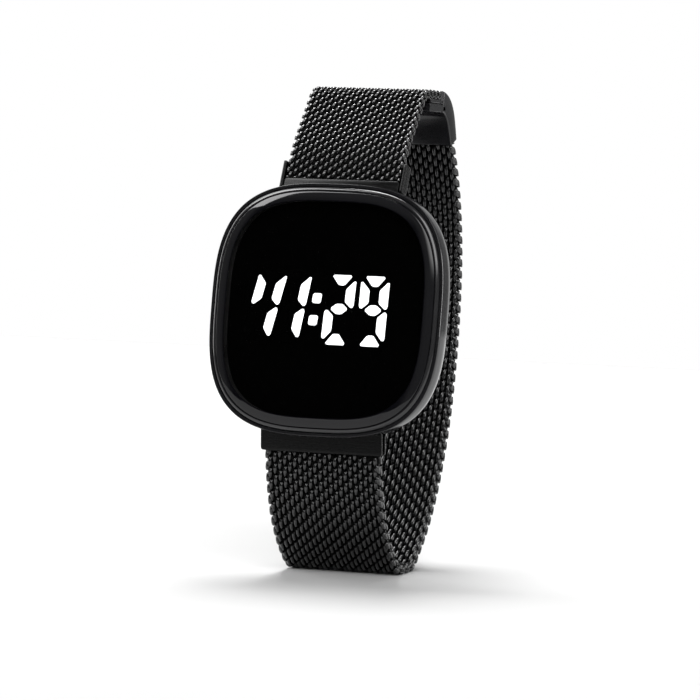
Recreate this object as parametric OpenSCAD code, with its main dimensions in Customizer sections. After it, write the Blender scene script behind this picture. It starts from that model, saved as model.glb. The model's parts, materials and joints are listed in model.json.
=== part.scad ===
// Square LED wristwatch with touch display, on a woven steel strap with a magnetic lap clasp.
// Millimetres, +Z up, face towards -Y. The origin is under the middle of the standing watch.

/* [Case] */
// Half width of the case at its widest
case_half = 19.42; // [18:0.02:24]
// Depth of the case, from lens to rim of the back
case_depth = 8.4; // [8.4:0.1:10]
// Squareness of the case edge: 2 is round, 4 is nearly square
edge_squareness = 3.05; // [2.9:0.01:3.3]
// Squareness of the display and of the openings in the case
squareness = 3.27; // [2.9:0.01:3.5]
// How far the standing watch leans back, in degrees
lean = 10; // [4:0.5:16]
// Height of the case rim above the seat of the bezel
rim_h = 0.88; // [0.5:0.02:1]
// Corner facets of every squircle outline
outline_points = 72; // [48:8:96]

/* [Lens and bezel] */
// Width of the case edge outside the bezel ring
rim_w = 0.5; // [0.4:0.01:0.6]
// Thickness of the lens
lens_t = 1.4; // [1.2:0.1:1.6]
// Width of the sloped lens border
border_w = 1.45; // [0.8:0.05:1.6]
// Drop of the sloped lens border
border_drop = 0.4; // [0.2:0.05:0.6]
// Width of the rounded bezel ring
bezel_w = 0.65; // [0.5:0.01:0.8]
// How far the bezel ring falls from its inner edge to its outer one
bezel_fall = 0.65; // [0.5:0.05:0.8]
// Thickness of the lens gasket and the display mask
mask_t = 0.2; // [0.1:0.05:0.3]
// Thickness of the case flange under the lens
flange_t = 0.6; // [0.5:0.05:0.8]

/* [Display] */
// Half height of a digit
digit_half_h = 5.5; // [4:0.1:5.8]
// Half width of a digit
digit_half_w = 2.4; // [2:0.1:2.5]
// Width of a lit bar
bar_w = 1.55; // [1:0.05:1.6]
// Height of the middle bar above the centre
mid_h = 0.3; // [0:0.1:0.5]
// Width of the cut across each corner of a bar
corner_cut = 0.3; // [0.1:0.05:0.35]
// Side of a colon dot
dot_w = 1.5; // [1:0.1:1.8]
// Clearance round each light segment
window_gap = 0.05; // [0.02:0.01:0.08]

/* [Movement] */
// Thickness of the circuit board
board_t = 0.8; // [0.6:0.1:0.9]
// Diameter of the coin cell
cell_d = 20; // [16:0.5:20]
// Thickness of the coin cell
cell_t = 3.2; // [2.5:0.1:3.2]
// Radius of the case back screws
screw_r = 0.7; // [0.5:0.05:0.8]
// Length of the case back screws
screw_len = 4; // [3:0.1:4.4]

/* [Spring bars] */
// Distance of the spring bars in from the edge of the case
bar_inset = 2.42; // [2.2:0.02:2.6]
// Depth of the spring bars below the lens top
bar_depth = 3.6; // [3.6:0.05:4]
// Diameter of the spring bar tube
bar_d = 1.5; // [1.3:0.05:1.6]
// Wall of the spring bar tube
bar_wall = 0.2; // [0.15:0.01:0.25]
// Diameter of the spring bar tips
tip_d = 0.7; // [0.6:0.05:0.8]
// Travel of a spring bar tip
tip_travel = 0.8; // [0.5:0.05:0.9]

/* [Strap] */
// Width of the woven strap
mesh_w = 19.3; // [16:0.1:22]
// Thickness of the woven strap
mesh_t = 1.4; // [1.1:0.05:1.5]
// Spacing of the main ribs of the lower strap's weave
lower_rib = 2.7; // [2.4:0.1:3.6]
// Spacing of the main ribs of the upper strap's weave
upper_rib = 1.9; // [1.6:0.1:3.6]
// Depth of the grooves between the ribs
groove_d = 0.35; // [0.15:0.05:0.4]
// Thickness of the sheet that the clamps are folded from
sheet_t = 0.4; // [0.3:0.02:0.45]
// How far the lower clamp stands out on each side of the strap
clamp_margin = 0.55; // [0.3:0.05:0.7]
// Thickness of the upper clamp's cheeks
cheek_t = 0.5; // [0.4:0.02:0.7]
// Clearance between the strap and each cheek
cheek_gap = 0.25; // [0.2:0.01:0.3]
// Reach of the lower clamp from its bar
lower_reach = 4.63; // [4:0.01:6]
// Reach of the upper clamp's short front leaf
front_reach = 3.1; // [2.6:0.05:4]
// Reach of the upper clamp's cheeks and back leaf
cheek_reach = 5.95; // [4.5:0.05:7]
// Heading of the upper clamp, in degrees above level
upper_heading = 65.5; // [60:0.5:70]
// Clearance between parts that move past each other
run_gap = 0.06; // [0.04:0.01:0.1]

/* [Clasp] */
// Length of the thin lip under the upper strap
lip_len = 5; // [4.2:0.1:5.4]
// Thickness of the lip
lip_t = 1.2; // [1.1:0.05:1.4]
// Length of the steel keeper plate
keeper_len = 4.1; // [3:0.1:4.2]
// Thickness of the steel keeper plate
keeper_t = 0.6; // [0.4:0.05:0.8]
// Gap between the lip and the keeper
lap_gap = 0.12; // [0.1:0.01:0.3]
// Diameter of a clasp magnet
magnet_d = 3; // [2:0.1:3.4]
// Height of a clasp magnet
magnet_h = 0.8; // [0.5:0.05:0.9]
// How far the tongue stands proud of the woven strap
tongue_proud = 0.85; // [0.4:0.05:1.2]

/* [Hidden] */
eps = 0.01;
round_fn = 48;

// Half widths and places that follow the case and the strap
bezel_gap = 0.08;
rim_half = case_half - rim_w;
bezel_out = rim_half - 0.07;
bezel_in = bezel_out - bezel_w;
lens_half = bezel_in - bezel_gap;
bar_u = case_half - bar_inset;
lower_clamp_w = mesh_w + 2 * clamp_margin;
upper_clamp_w = mesh_w + 2 * (cheek_t + cheek_gap);

// Levels in the case, measured up from the top of the lens
mask_z = -lens_t;
seat_z = mask_z - mask_t;
flange_z = seat_z - flange_t;
board_z = flange_z - board_t;
rebate_d = 1.0;
ledge_z = -case_depth + rebate_d;
gasket_t = 0.2;
back_t = 1.0;
back_z = ledge_z - gasket_t - back_t;
boss_r = 1.7;
clip_t = 0.2;
clip_z = ledge_z - 0.1;
cell_z = clip_z + clip_t;

// Half widths of the openings that are cut one inside the other
cavity_half = case_half - 4.72;
cavity_u = bar_u - 3.2;
opening_half = cavity_half - 0.1;
opening_u = cavity_u - 1.2;
rebate_grow = 0.8;
screw_at = cavity_half - 3.7;
fit_gap = 0.1;
recess_u = bar_u - 1.6;
recess_half = upper_clamp_w / 2 + 0.3;
hole_depth = 1;

// The profile of the case side: half width and height of each ring, from the back to the rim
case_rings = [
    [case_half - 3.0, -case_depth], [case_half - 2.2, -case_depth + 0.65],
    [case_half - 1.49, -case_depth + 1.8], [case_half - 0.88, -case_depth + 3.1],
    [case_half - 0.35, -case_depth + 4.3], [case_half - 0.08, -case_depth + 5.3],
    [case_half, -case_depth + 6.1], [case_half, -case_depth + 7.0],
    [case_half - 0.05, seat_z + rim_h - 0.12], [case_half - 0.14, seat_z + rim_h],
    [rim_half, seat_z + rim_h - 0.04],
];
// The section of the bezel ring: flat outside and inside, a round shoulder that falls outwards
bezel_section = concat(
    [[bezel_in, seat_z]],
    [for (t = [90:-15:0]) [bezel_in + bezel_w * cos(t), bezel_fall * (sin(t) - 1) - border_drop]],
    [[bezel_out, seat_z]]);

// The woven strap as arcs, each a length and a turn in degrees, from its clamp to the clasp.
// The lengths are for spring bars this far from the centre, and stretch with them.
arcs_bar_u = 17;
lower_arcs = [
    [9.6, 18], [10, 27], [2, 45], [2.9, 0], [2, 45], [2.5, 0],
    [11.3, 17], [15.6, 14], [18, 10.5], [12.2, 14], [9.1, 12],
];
upper_arcs = [[2.8, 0], [4.5, -15.5], [7.4, 0], [3, -56], [4.3, 0]];
tang = 1.4;
socket_depth = 1.5;
// The ribs cross the strap at these slants, as a fall along it for each millimetre across
lower_slant = 0.2;
upper_slant = -0.167;
groove_half = 0.4;
plain_end = 0.3;
strap_columns = 4;

// Places in the plane of the strap's profile, across Y and up Z, from the centre of the face
function on_case(u, depth) =
    [u * sin(lean) + depth * cos(lean), u * cos(lean) - depth * sin(lean)];
upper_bar = on_case(bar_u, bar_depth);
lower_bar = on_case(-bar_u, bar_depth);
loop_in = bar_d / 2 + run_gap;
loop_out = loop_in + sheet_t;
// The upper strap is as thick as its clamp less the back leaf, the lower one sits inside its leaf
upper_mid = loop_out - mesh_t / 2;
leaf_step = 0.25;
lower_mid = loop_out - leaf_step - mesh_t / 2;
lower_pinch = 2 * sheet_t + 0.8;

function along(h) = [cos(h), sin(h)];
function left_of(h) = [-sin(h), cos(h)];
function arc_end(p, h, len, turn) =
    turn == 0 ? p + len * along(h)
    : let (r = len / turn * 180 / PI)
        p + r * [sin(h + turn) - sin(h), cos(h) - cos(h + turn)];
function reversed(v) = [for (i = [len(v) - 1:-1:0]) v[i]];
// The place and heading at a distance along a run of arcs
function station(arcs, p, h, d, i = 0) =
    let (l = arcs[i][0] * bar_u / arcs_bar_u, turn = arcs[i][1])
    d <= l || i == len(arcs) - 1
        ? [arc_end(p, h, d, turn * d / l), h + turn * d / l]
        : station(arcs, arc_end(p, h, l, turn), h + turn, d - l, i + 1);
function arcs_length(arcs) = [for (a = arcs) a[0]] * [for (a = arcs) 1] * bar_u / arcs_bar_u;
function strap_end(arcs, p, h) = station(arcs, p, h, arcs_length(arcs));

// Rows of a strap, each a distance, a slant and a groove depth. Its ends are straight and plain,
// and so is the stretch that it stands on.
function strap_rows(length, rib, slant, foot) =
    let (reach = abs(slant) * mesh_w / 2 + groove_half,
        count = floor((length - 2 * reach - 2 * plain_end) / rib),
        first = (length - count * rib) / 2)
    concat([[0, 0, 0]],
        [for (k = [0:count])
            let (at = first + k * rib,
                depth = at > foot[0] - reach && at < foot[1] + reach ? 0 : groove_d)
            for (q = [[-groove_half, 0], [0, depth], [groove_half, 0],
                if (k < count) [rib / 2, 0]]) [at + q[0], slant, q[1]]],
        [[length, 0, 0]]);
// Points of a strap, row by row and column by column, on its right face and then its left one
function strap_points(arcs, p, h, rib, slant, foot) = [
    for (r = strap_rows(arcs_length(arcs), rib, slant, foot)) for (c = [0:strap_columns])
        let (x = mesh_w * (c / strap_columns - 0.5), s = station(arcs, p, h, r[0] + r[1] * x),
            off = (mesh_t / 2 - r[2]) * left_of(s[1]))
        for (q = [s[0] - off, s[0] + off]) [x, q[0], q[1]]];

upper_start = upper_bar + (front_reach + 0.05) * along(upper_heading)
    + upper_mid * left_of(upper_heading);
upper_points = strap_points(upper_arcs, upper_start, upper_heading, upper_rib, upper_slant,
    [-1, -1]);
lower_start = lower_bar + lower_reach * along(-90) - lower_mid * left_of(-90);
// The fourth arc of the lower strap is the straight one that the watch stands on
lower_foot = [for (last = [2, 3]) arcs_length([for (i = [0:last]) lower_arcs[i]])];
lower_points = strap_points(lower_arcs, lower_start, -90, lower_rib, lower_slant, lower_foot);
upper_end = strap_end(upper_arcs, upper_start, upper_heading);
lower_end = strap_end(lower_arcs, lower_start, -90);

// The clasp: the lip runs back under the end of the upper strap
cap_t = 0.4;
end_gap = 0.15;
lip_mid = mesh_t / 2 + keeper_t + lap_gap + lip_t / 2;
lap_heading = upper_end[1] + 180;
lap_start = upper_end[0] + (cap_t + end_gap) * along(upper_end[1])
    - lip_mid * left_of(upper_end[1]);
tongue_pull = 2.6;
tongue_out = mesh_t / 2 + tongue_proud;
tongue_in = mesh_t / 2 + 0.05;
top_out = lip_t / 2 + lap_gap + keeper_t + mesh_t;
tongue_steps = 12;
// A cubic curve from the end of the lower strap to the lap
function bend(t) =
    let (a = lower_end[0], b = a + tongue_pull * along(lower_end[1]),
        d = lap_start, c = d - tongue_pull * along(lap_heading))
    pow(1 - t, 3) * a + 3 * pow(1 - t, 2) * t * b + 3 * (1 - t) * t * t * c + pow(t, 3) * d;
function bend_heading(t) =
    let (v = bend(min(1, t + 0.01)) - bend(max(0, t - 0.01))) atan2(v[1], v[0]);
function mix(a, b, t) = a + (b - a) * t;
tongue_route = [for (i = [0:tongue_steps]) let (t = i / tongue_steps)
    [bend(t), i == 0 ? lower_end[1] : i == tongue_steps ? lap_heading : bend_heading(t)]];
function tongue_side(from, to) = [for (i = [0:tongue_steps])
    tongue_route[i][0] + mix(from, to, i / tongue_steps) * left_of(tongue_route[i][1])];

// The box round the standing watch sets the origin
face_edge = concat([[lens_half - border_w, 0]], bezel_section, case_rings);
face_y = -(min([for (r = face_edge) -r[0] * sin(lean) - r[1] * cos(lean)])
    + max([for (p = lower_points) p[1]])) / 2;
face_z = -min([for (p = lower_points) p[2]]);

// Squircle outline of half width a
function squircle(a, power = squareness) = let (n = outline_points)
    [for (i = [0:n - 1]) let (t = 360 * (i + 0.5) / n)
        a * [sign(cos(t)) * pow(abs(cos(t)), 2 / power),
            sign(sin(t)) * pow(abs(sin(t)), 2 / power)]];
// The outline of a ring, as square as the case edge unless the ring names its own squareness
function ring_outline(r) = squircle(r[0], len(r) > 2 ? r[2] : edge_squareness);

// A solid lofted through squircle rings, from the lowest to the highest
module squircle_loft(rings) {
    n = outline_points;
    last = (len(rings) - 1) * n;
    points = [for (r = rings) for (p = ring_outline(r)) [p[0], p[1], r[1]]];
    sides = [for (j = [0:len(rings) - 2]) for (i = [0:n - 1]) let (k = (i + 1) % n)
        [j * n + i, (j + 1) * n + i, (j + 1) * n + k, j * n + k]];
    polyhedron(points, concat(sides, [[for (i = [0:n - 1]) i]],
        [[for (i = [n - 1:-1:0]) last + i]]));
}

// A closed ring of the given section, carried round the squircle
module squircle_ring(section) {
    n = outline_points;
    m = len(section);
    points = [for (s = section) for (p = ring_outline(s)) [p[0], p[1], s[1]]];
    polyhedron(points, [for (j = [0:m - 1]) for (i = [0:n - 1])
        let (k = (i + 1) % n, q = (j + 1) % m)
        [j * n + i, q * n + i, q * n + k, j * n + k]]);
}

// A ribbed strap over its points: two faces in triangles, two edges and two ends
module strap(points) {
    m = strap_columns;
    last = len(points) / (2 * (m + 1)) - 1;
    function at(j, c, f) = (j * (m + 1) + c) * 2 + f;
    translate([0, face_y, face_z]) polyhedron(points, concat(
        [for (j = [0:last - 1]) for (c = [0:m - 1]) for (t = [
            [at(j, c, 0), at(j, c + 1, 0), at(j + 1, c + 1, 0)],
            [at(j, c, 0), at(j + 1, c + 1, 0), at(j + 1, c, 0)],
            [at(j, c, 1), at(j + 1, c + 1, 1), at(j, c + 1, 1)],
            [at(j, c, 1), at(j + 1, c, 1), at(j + 1, c + 1, 1)]]) t],
        [for (j = [0:last - 1]) for (t = [
            [at(j, 0, 0), at(j + 1, 0, 0), at(j + 1, 0, 1), at(j, 0, 1)],
            [at(j + 1, m, 0), at(j, m, 0), at(j, m, 1), at(j + 1, m, 1)]]) t],
        [for (c = [0:m - 1]) for (t = [
            [at(0, c + 1, 0), at(0, c, 0), at(0, c, 1), at(0, c + 1, 1)],
            [at(last, c, 0), at(last, c + 1, 0), at(last, c + 1, 1), at(last, c, 1)]]) t]));
}

module squircle_plate(half, half_u, z0, z1, power = squareness) {
    translate([0, 0, z0]) linear_extrude(z1 - z0) intersection() {
        polygon(squircle(half, power));
        square([3 * half, 2 * half_u], center = true);
    }
}

module on_face() translate([0, face_y, face_z]) rotate([90 - lean, 0, 0]) children();
module across(width) translate([0, face_y, face_z]) rotate([90, 0, 90])
    linear_extrude(width, center = true) children();
module at_screws() for (x = [-1, 1]) for (y = [-1, 1])
    translate([x * screw_at, y * screw_at, 0]) children();
module along_x(x0, x1, r) translate([x0, 0, 0]) rotate([0, 90, 0])
    cylinder(h = x1 - x0, r = r, $fn = round_fn);
module at_bar(side) on_face() translate([0, side * bar_u, -bar_depth]) children();

// The pocket behind the case edge that a strap clamp turns in
module strap_recess(side) {
    mirror([0, side < 0 ? 1 : 0, 0]) rotate([90, 0, 90])
        linear_extrude(2 * recess_half, center = true)
            polygon([[recess_u, flange_z], [bar_u + 0.3, flange_z],
                [case_half + 0.6, flange_z + 0.45], [case_half + 0.6, -case_depth - 1],
                [recess_u, -case_depth - 1]]);
}

module case_body() color([0.06, 0.06, 0.07]) on_face() {
    difference() {
        squircle_loft(case_rings);
        squircle_plate(rim_half, case_half, seat_z, seat_z + 2, edge_squareness);
        squircle_plate(opening_half, opening_u, flange_z - eps, seat_z + eps);
        squircle_plate(cavity_half, cavity_u, -case_depth - 1, flange_z);
        squircle_plate(cavity_half + rebate_grow, cavity_u + rebate_grow, -case_depth - 1, ledge_z);
        for (s = [-1, 1]) {
            strap_recess(s);
            translate([0, s * bar_u, -bar_depth])
                along_x(-recess_half - hole_depth, recess_half + hole_depth, tip_d / 2 + run_gap);
        }
    }
    at_screws() difference() {
        translate([0, 0, ledge_z]) cylinder(h = flange_z - ledge_z + eps, r = boss_r, $fn = round_fn);
        translate([0, 0, back_z]) cylinder(h = screw_len + 0.2, r = screw_r + 0.02, $fn = round_fn);
    }
}

module bezel_ring() color([0.1, 0.1, 0.11]) on_face() squircle_ring(bezel_section);

module lens() color([0.2, 0.2, 0.22, 0.4]) on_face()
    squircle_loft([[lens_half, mask_z], [lens_half, -border_drop],
        [lens_half - border_w, 0, squareness]]);

module lens_gasket() color([0.05, 0.05, 0.05]) on_face() difference() {
    squircle_plate(lens_half, case_half, seat_z, mask_z, edge_squareness);
    squircle_plate(lens_half - border_w, case_half, seat_z - 1, mask_z + 1);
}

// The display: the seven bars of a digit as drawn for no slant, with the left side at -l and
// the upper side bars longer by rise, but for a narrowed left one
function bar_outline(name, l, rise) =
    let (w = digit_half_w, h = digit_half_h, foot = 0.3 - h, b = bar_w, m = mid_h,
        core = 0.5, lcore = core - (w - l) / 2, end = 0.6, tip = 0.9)
    name == "a" ? [[end - l, h], [w - end, h], [core, h - b], [-lcore, h - b]]
    : name == "d" ? [[end - l, foot], [-lcore, foot + b + 0.1], [core, foot + b + 0.1],
        [w - end, foot]]
    : name == "g" ? [[tip - l, m], [-lcore, m + b / 2], [core, m + b / 2],
        [w - tip, m], [core, m - b / 2], [-lcore, m - b / 2]]
    : name == "b" ? [[w, h - 0.6 + rise], [w - b, h - 2.15 + rise], [w - b, m + 1.1],
        [w - 0.35, m + 0.1], [w, m + 0.5]]
    : name == "c" ? [[w, foot + 1], [w - 0.4, foot + 0.8], [w - b, foot + 2.1], [w - b, m - 1.1],
        [w - 0.35, m - 0.1], [w, m - 0.5]]
    : [for (p = bar_outline(name == "f" ? "b" : "c", l, l < w ? 0 : rise)) [w - l - p[0], p[1]]];
// The same outline with each corner cut across at one width
function cut_corners(points, cut) =
    let (n = len(points))
    [for (i = [0:n - 1])
        let (p = points[i], a = points[(i + n - 1) % n] - p, b = points[(i + 1) % n] - p,
            d = min(cut / 2 / sin(acos(a * b / norm(a) / norm(b)) / 2),
                0.45 * min(norm(a), norm(b))))
        for (q = [a, b]) p + d * q / norm(q)];

// Each digit: place of its centre, slant in degrees, half width of its left side, lit bars,
// and the rise of its upper side bars, which reach higher in a digit with no lit top bar
digits = [[-10.7, 13, digit_half_w, "fbc", 0.4], [-6.15, 9, 0.69 * digit_half_w, "bc", 0.4],
    [1.95, 2.8, digit_half_w, "abged", 0], [7.65, 1.5, digit_half_w, "abfgcd", 0]];
dots = [[-1.85, 1.8, 6], [-2.25, -1.6, 6]];
// The digits are drawn for a light frame of this half width
digits_frame_half = 14.5;
frame_half = opening_half - fit_gap;
frame_u = digit_half_h + 0.8;
module at_digit_scale() scale(frame_half / digits_frame_half) children();
function is_lit(name, set) = len(search(name, set)) > 0;
function slanted(points, at, slant) = [for (p = points) [at + p[0] + p[1] * tan(slant), p[1]]];
module bars(lit) for (digit = digits) for (name = ["a", "b", "c", "d", "e", "f", "g"])
    if (is_lit(name, digit[3]) == lit)
        polygon(cut_corners(
            slanted(bar_outline(name, digit[2], digit[4]), digit[0], digit[1]), corner_cut));
module dot_squares() for (p = dots) translate([p[0], p[1]])
    polygon(cut_corners(slanted([[-dot_w, -dot_w] / 2, [dot_w, -dot_w] / 2, [dot_w, dot_w] / 2,
        [-dot_w, dot_w] / 2], 0, p[2]), corner_cut));
module windows(z0, z1) translate([0, 0, z0]) linear_extrude(z1 - z0) at_digit_scale()
    offset(delta = window_gap) {
        bars(true);
        bars(false);
        dot_squares();
    }

module display_mask() color([0.01, 0.01, 0.01]) on_face() difference() {
    squircle_plate(lens_half - border_w - fit_gap, case_half, seat_z, mask_z);
    windows(seat_z - 1, mask_z + 1);
}

module light_frame() color([0.05, 0.05, 0.05]) on_face() difference() {
    squircle_plate(frame_half, frame_u, flange_z, seat_z);
    windows(flange_z - 1, seat_z + 1);
}

module lit_segments() color([1, 1, 1]) on_face() translate([0, 0, flange_z])
    linear_extrude(mask_z - flange_z) at_digit_scale() {
        bars(true);
        dot_squares();
    }

module unlit_segments() color([0.03, 0.03, 0.03]) on_face() translate([0, 0, flange_z])
    linear_extrude(mask_z - flange_z) at_digit_scale() bars(false);

touch_pad_size = [14, 3];
module touch_pad() color([0.7, 0.45, 0.25]) on_face()
    translate([0, -frame_u - touch_pad_size[1] / 2 - 1, (flange_z + seat_z) / 2])
        cube([touch_pad_size[0], touch_pad_size[1], flange_t], center = true);

// Outline of what fits the cavity: inside the walls and clear of the screw bosses
module inner_outline(shrink) difference() {
    intersection() {
        polygon(squircle(cavity_half - shrink));
        square([3 * cavity_half, 2 * (cavity_u - shrink)], center = true);
    }
    at_screws() circle(r = boss_r + shrink, $fn = round_fn);
}

module led_board() color([0.05, 0.3, 0.12]) on_face()
    translate([0, 0, board_z]) linear_extrude(board_t) inner_outline(0.2);

chip_size = [5, 5, 0.8];
module driver_chip() color([0.08, 0.08, 0.08]) on_face()
    translate([0, 0, board_z - chip_size[2] / 2]) cube(chip_size, center = true);

can_r = 1;
can_len = 6;
can_at = (cell_d / 2 + cavity_half) / 2;
module quartz_can() color([0.75, 0.75, 0.78]) on_face()
    translate([can_at, -can_len / 2, board_z - can_r]) rotate([-90, 0, 0])
        cylinder(h = can_len, r = can_r, $fn = round_fn);

clip_w = 4;
clip_at = cell_d / 2 + 1;
clip_v = screw_at - boss_r - clip_w / 2 - 0.3;
module holder_frame() color([0.15, 0.15, 0.16]) on_face() difference() {
    translate([0, 0, cell_z]) linear_extrude(board_z - cell_z) inner_outline(0.3);
    translate([0, 0, cell_z - 1]) cylinder(h = 10, d = cell_d + 0.3, $fn = 2 * round_fn);
    translate([can_at, 0, board_z - can_r])
        cube([2 * can_r + 0.2, can_len + 0.2, 2 * can_r + 0.2], center = true);
    for (s = [-1, 1]) translate([s * clip_at, s * clip_v, 0])
        cube([clip_t + 0.3, clip_w + 0.3, 3 * case_depth], center = true);
}

// A leaf that presses the board's pad on to the cell
module contact_spring() color([0.8, 0.7, 0.4]) on_face()
    translate([0, 5.5, 0]) rotate([90, 0, 0]) linear_extrude(2, center = true)
        polygon([[-4, board_z], [-4, board_z - clip_t], [-1.2, board_z - clip_t],
            [2.6, cell_z + cell_t], [4.2, cell_z + cell_t], [4.2, cell_z + cell_t + clip_t],
            [2.7, cell_z + cell_t + clip_t], [-1.1, board_z]]);

cell_step = 1.2;
module coin_cell() color([0.75, 0.75, 0.76]) on_face() {
    translate([0, 0, cell_z]) cylinder(h = cell_t - 0.3, d = cell_d, $fn = 2 * round_fn);
    translate([0, 0, cell_z]) cylinder(h = cell_t, r = cell_d / 2 - cell_step, $fn = 2 * round_fn);
}

module cell_clip() color([0.8, 0.8, 0.82]) on_face() {
    translate([0, 0, clip_z]) linear_extrude(clip_t) polygon([
        [-clip_at - clip_t / 2, -clip_v - clip_w / 2], [-clip_at + clip_w, -clip_v - clip_w / 2],
        [clip_at + clip_t / 2, clip_v - clip_w / 2], [clip_at + clip_t / 2, clip_v + clip_w / 2],
        [clip_at - clip_w, clip_v + clip_w / 2], [-clip_at - clip_t / 2, -clip_v + clip_w / 2]]);
    for (s = [-1, 1]) translate([s * clip_at, s * clip_v, (clip_z + board_z) / 2])
        cube([clip_t, clip_w, board_z - clip_z], center = true);
}

raised_r = 12;
raised_h = 0.4;
head_r = screw_r + 0.5;
head_h = 0.45;
module case_back() color([0.6, 0.6, 0.62]) on_face() difference() {
    union() {
        squircle_plate(cavity_half + rebate_grow - fit_gap, cavity_u + rebate_grow - fit_gap,
            back_z, back_z + back_t);
        translate([0, 0, back_z - raised_h])
            cylinder(h = raised_h + eps, r = raised_r, $fn = 2 * round_fn);
    }
    at_screws() {
        translate([0, 0, back_z - 1]) cylinder(h = 4, r = screw_r + fit_gap, $fn = round_fn);
        translate([0, 0, back_z - 1]) cylinder(h = 1 + head_h, r = head_r + fit_gap, $fn = round_fn);
    }
}

module back_gasket() color([0.1, 0.1, 0.1]) on_face() difference() {
    squircle_plate(cavity_half + rebate_grow - 0.15, cavity_u + rebate_grow - 0.15,
        ledge_z - gasket_t, ledge_z);
    squircle_plate(cavity_half + 0.1, cavity_u + 0.1, ledge_z - 1, ledge_z + 1);
}

module back_screws() color([0.8, 0.8, 0.82]) on_face() at_screws() difference() {
    union() {
        translate([0, 0, back_z]) cylinder(h = head_h, r = head_r, $fn = round_fn);
        translate([0, 0, back_z]) cylinder(h = screw_len, r = screw_r, $fn = round_fn);
    }
    translate([0, 0, back_z]) cube([2 * head_r + 1, 0.3, 0.4], center = true);
}

// Spring bars: a tube with crimped ends, a spring, and two tips that slide inwards
tube_half = lower_clamp_w / 2;
crimp = 0.4;
flange_len = 0.6;
tip_reach = recess_half + hole_depth - 0.2;
tube_in = bar_d / 2 - bar_wall;
module bar_tube(side) at_bar(side) difference() {
    along_x(-tube_half, tube_half, bar_d / 2);
    along_x(-tube_half + crimp, tube_half - crimp, tube_in);
    along_x(-tube_half - 1, tube_half + 1, tip_d / 2 + run_gap / 2);
}
module bar_tip(side, end) at_bar(side) mirror([end < 0 ? 1 : 0, 0, 0]) {
    along_x(tube_half - crimp - flange_len, tip_reach, tip_d / 2);
    along_x(tube_half - crimp - flange_len, tube_half - crimp, tube_in - run_gap);
}
spring_half = tube_half - crimp - flange_len - tip_travel - 0.05;
module bar_spring(side) at_bar(side) difference() {
    along_x(-spring_half, spring_half, tube_in - 0.02);
    along_x(-spring_half - 1, spring_half + 1, tube_in - 0.2);
}
module upper_bar_tube() color([0.7, 0.7, 0.72]) bar_tube(1);
module upper_bar_spring() color([0.6, 0.6, 0.62]) bar_spring(1);
module upper_tip_left() color([0.7, 0.7, 0.72]) bar_tip(1, -1);
module upper_tip_right() color([0.7, 0.7, 0.72]) bar_tip(1, 1);
module lower_bar_tube() color([0.7, 0.7, 0.72]) bar_tube(-1);
module lower_bar_spring() color([0.6, 0.6, 0.62]) bar_spring(-1);
module lower_tip_left() color([0.7, 0.7, 0.72]) bar_tip(-1, -1);
module lower_tip_right() color([0.7, 0.7, 0.72]) bar_tip(-1, 1);

// Clamps, drawn along their heading with the outer face towards +Y of the drawing
module upper_clamp_frame(width) across(width) translate(upper_bar) rotate(upper_heading) children();
module lower_clamp_frame(width) across(width) translate(lower_bar) rotate(-90) mirror([0, 1])
    children();
module clamp_loop(back_out) difference() {
    circle(r = loop_out, $fn = round_fn);
    translate([0, back_out + sheet_t]) square([2 * loop_out, loop_in - back_out - sheet_t]);
}
module loop_bore(width, at) translate([0, face_y + at[0], face_z + at[1]])
    along_x(-width / 2 - 1, width / 2 + 1, loop_in);
// The back leaf leaves the loop and runs in to its line, back_out, below the centre
module back_leaf(back_out, reach) polygon([
    [0.3, -loop_out + 0.04], [0.62, -loop_out + 0.17], [2.0, back_out], [reach, back_out],
    [reach, back_out + sheet_t], [1.9, back_out + sheet_t], [0.7, -loop_in + 0.12],
    [0.3, -loop_in + 0.02]]);

lower_back = loop_out - lower_pinch;
module lower_clamp() color([0.12, 0.12, 0.13]) difference() {
    lower_clamp_frame(lower_clamp_w) {
        clamp_loop(lower_back);
        translate([0, loop_in]) square([lower_reach, sheet_t]);
        back_leaf(lower_back, lower_reach);
    }
    loop_bore(lower_clamp_w, lower_bar);
}

upper_back = loop_out - mesh_t - sheet_t;
module upper_clamp() color([0.12, 0.12, 0.13]) {
    difference() {
        union() {
            upper_clamp_frame(lower_clamp_w) {
                clamp_loop(upper_back);
                back_leaf(upper_back, cheek_reach);
            }
            upper_clamp_frame(mesh_w) translate([0, loop_in]) square([front_reach, sheet_t]);
            for (s = [-1, 1]) translate([s * (upper_clamp_w - cheek_t) / 2, 0, 0])
                upper_clamp_frame(cheek_t)
                    polygon([[1.9, upper_back], [cheek_reach, upper_back],
                        [cheek_reach, loop_out], [1.3, loop_out], [1.3, upper_back + sheet_t]]);
        }
        loop_bore(lower_clamp_w, upper_bar);
    }
}

module upper_mesh() color([0.2, 0.2, 0.21]) {
    strap(upper_points);
    upper_clamp_frame(mesh_w) translate([front_reach - tang, upper_back + sheet_t])
        square([tang + 0.06, loop_in - upper_back - sheet_t]);
}

module keeper_plate() color([0.3, 0.3, 0.31]) across(mesh_w)
    translate(upper_end[0]) rotate(upper_end[1]) polygon([
        [-keeper_len, -mesh_t / 2], [0, -mesh_t / 2], [0, mesh_t / 2], [cap_t, mesh_t / 2],
        [cap_t, -mesh_t / 2 - keeper_t], [-keeper_len, -mesh_t / 2 - keeper_t]]);

module lower_mesh() color([0.2, 0.2, 0.21]) {
    strap(lower_points);
    lower_clamp_frame(mesh_w) translate([lower_reach - 2.4, lower_back + sheet_t])
        square([2.4 + 0.01, lower_pinch - 2 * sheet_t]);
    across(mesh_w) translate(lower_end[0]) rotate(lower_end[1])
        translate([-eps, -0.45]) square([socket_depth + eps, 0.9]);
}

lip_tang = 1;
lip_tang_t = 0.7;
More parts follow.
